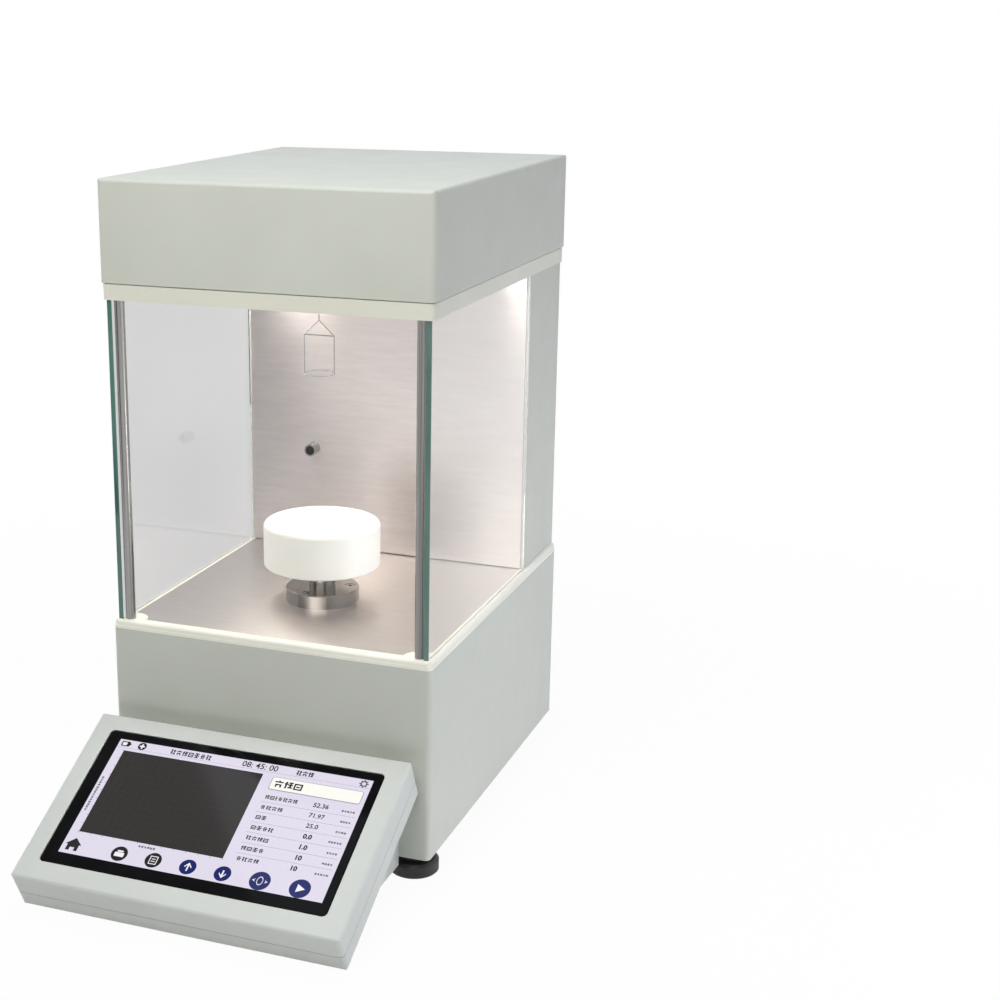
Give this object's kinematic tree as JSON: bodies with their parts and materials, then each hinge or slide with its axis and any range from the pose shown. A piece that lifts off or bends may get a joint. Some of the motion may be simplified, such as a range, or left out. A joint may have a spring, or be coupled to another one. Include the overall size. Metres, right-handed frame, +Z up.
{
  "type": "surface tensiometer",
  "caption": "Surface tensiometer: open lit chamber with a lifting sample table and a hanging wire ring, between a drive base and a sensor head, with a sloped touch console in front.",
  "frame": {"origin": "on the bench, under the middle of the object's bounding box", "axes": "+Z up, front faces -Y, +X to the right as seen from the front"},
  "size_m": [0.2032, 0.3746, 0.3921],
  "materials": {
    "painted_cover": "fine powder coat, grey-green white",
    "console_paint": "fine powder coat, warm white",
    "ivory_plate": "satin",
    "brushed_sheet": "fine brushed",
    "turned_steel": "turned and polished",
    "fixing_steel": "zinc",
    "machined_aluminium": "machined",
    "nut_brass": "turned",
    "black_plastic": "fine matt",
    "pad_rubber": "matt",
    "white_plastic": "turned satin",
    "pane_glass": "clear with a green edge",
    "screen_glass": "polished",
    "light_cover": "milk white",
    "board": "satin",
    "duct_plastic": "satin",
    "ring_wire": "drawn and polished"
  },
  "bodies": {
    "frame": {"base_cover": "painted_cover", "head_cover": "painted_cover", "column_shell": "painted_cover", "console_upper": "console_paint", "console_lower": "console_paint", "console_stand": "console_paint", "deck_plate": "ivory_plate", "ceiling_plate": "ivory_plate", "chamber_floor": "brushed_sheet", "back_panel": "brushed_sheet", "post_left": "turned_steel", "post_right": "turned_steel", "stem_flange": "turned_steel", "probe_sleeve": "turned_steel", "guide_rods": "turned_steel", "ring_hanger": "turned_steel", "flange_screws": "fixing_steel", "stand_screws": "fixing_steel", "base_screws": "fixing_steel", "base_plate": "fixing_steel", "stud_bushes": "fixing_steel", "power_supply": "fixing_steel", "screen_module": "fixing_steel", "data_port": "fixing_steel", "lift_top_plate": "machined_aluminium", "motor_bracket": "machined_aluminium", "load_cell": "machined_aluminium", "load_cell_block": "machined_aluminium", "probe_tip": "black_plastic", "mains_inlet": "black_plastic", "switch_bezel": "black_plastic", "lift_motor": "black_plastic", "console_pads": "pad_rubber", "glass_left": "pane_glass", "glass_right": "pane_glass", "touch_glass": "screen_glass", "light_bar_left": "light_cover", "light_bar_right": "light_cover", "main_board": "board", "sensor_board": "board", "console_board": "board", "cable_duct": "duct_plastic"},
    "stage": {"sample_table": "white_plastic", "lift_stem": "turned_steel", "lift_carriage": "machined_aluminium", "guide_bushes": "fixing_steel", "lift_nut": "nut_brass"},
    "screw": {"lead_screw": "turned_steel", "motor_shaft": "turned_steel", "shaft_coupling": "machined_aluminium"},
    "ring": {"measuring_ring": "ring_wire"},
    "rocker": {"power_rocker": "black_plastic"},
    "foot_fl": {"foot_front_left": "black_plastic"},
    "foot_fr": {"foot_front_right": "black_plastic"},
    "foot_rl": {"foot_rear_left": "black_plastic"},
    "foot_rr": {"foot_rear_right": "black_plastic"}
  },
  "joints": [
    {"name": "stage_lift", "type": "slide", "parent": "frame", "child": "stage", "axis": [0, 0, 1], "range_m": [-0.012, 0.028]},
    {"name": "screw_spin", "type": "hinge", "parent": "frame", "child": "screw", "pos_m": [0.0012, 0.05181, 0.09], "axis": [0, 0, 1], "range_deg": [-1262, 542]},
    {"name": "ring_swing", "type": "hinge", "parent": "frame", "child": "ring", "pos_m": [0.0012, 0.01141, 0.3131], "axis": [0, 1, 0], "range_deg": [-8, 8]},
    {"name": "rocker_tilt", "type": "hinge", "parent": "frame", "child": "rocker", "pos_m": [-0.0168, 0.18181, 0.0475], "axis": [1, 0, 0], "range_deg": [0, 16]},
    {"name": "foot_turn_fl", "type": "hinge", "parent": "frame", "child": "foot_fl", "pos_m": [-0.0846, -0.05399, 0.005], "axis": [0, 0, 1], "continuous": true},
    {"name": "foot_turn_fr", "type": "hinge", "parent": "frame", "child": "foot_fr", "pos_m": [0.087, -0.05399, 0.005], "axis": [0, 0, 1], "continuous": true},
    {"name": "foot_turn_rl", "type": "hinge", "parent": "frame", "child": "foot_rl", "pos_m": [-0.0718, 0.16761, 0.005], "axis": [0, 0, 1], "continuous": true},
    {"name": "foot_turn_rr", "type": "hinge", "parent": "frame", "child": "foot_rr", "pos_m": [0.0742, 0.16761, 0.005], "axis": [0, 0, 1], "continuous": true}
  ],
  "couplings": [
    {"joint": "screw_spin", "follows": "stage_lift", "rad_per_m": -785.4}
  ]
}
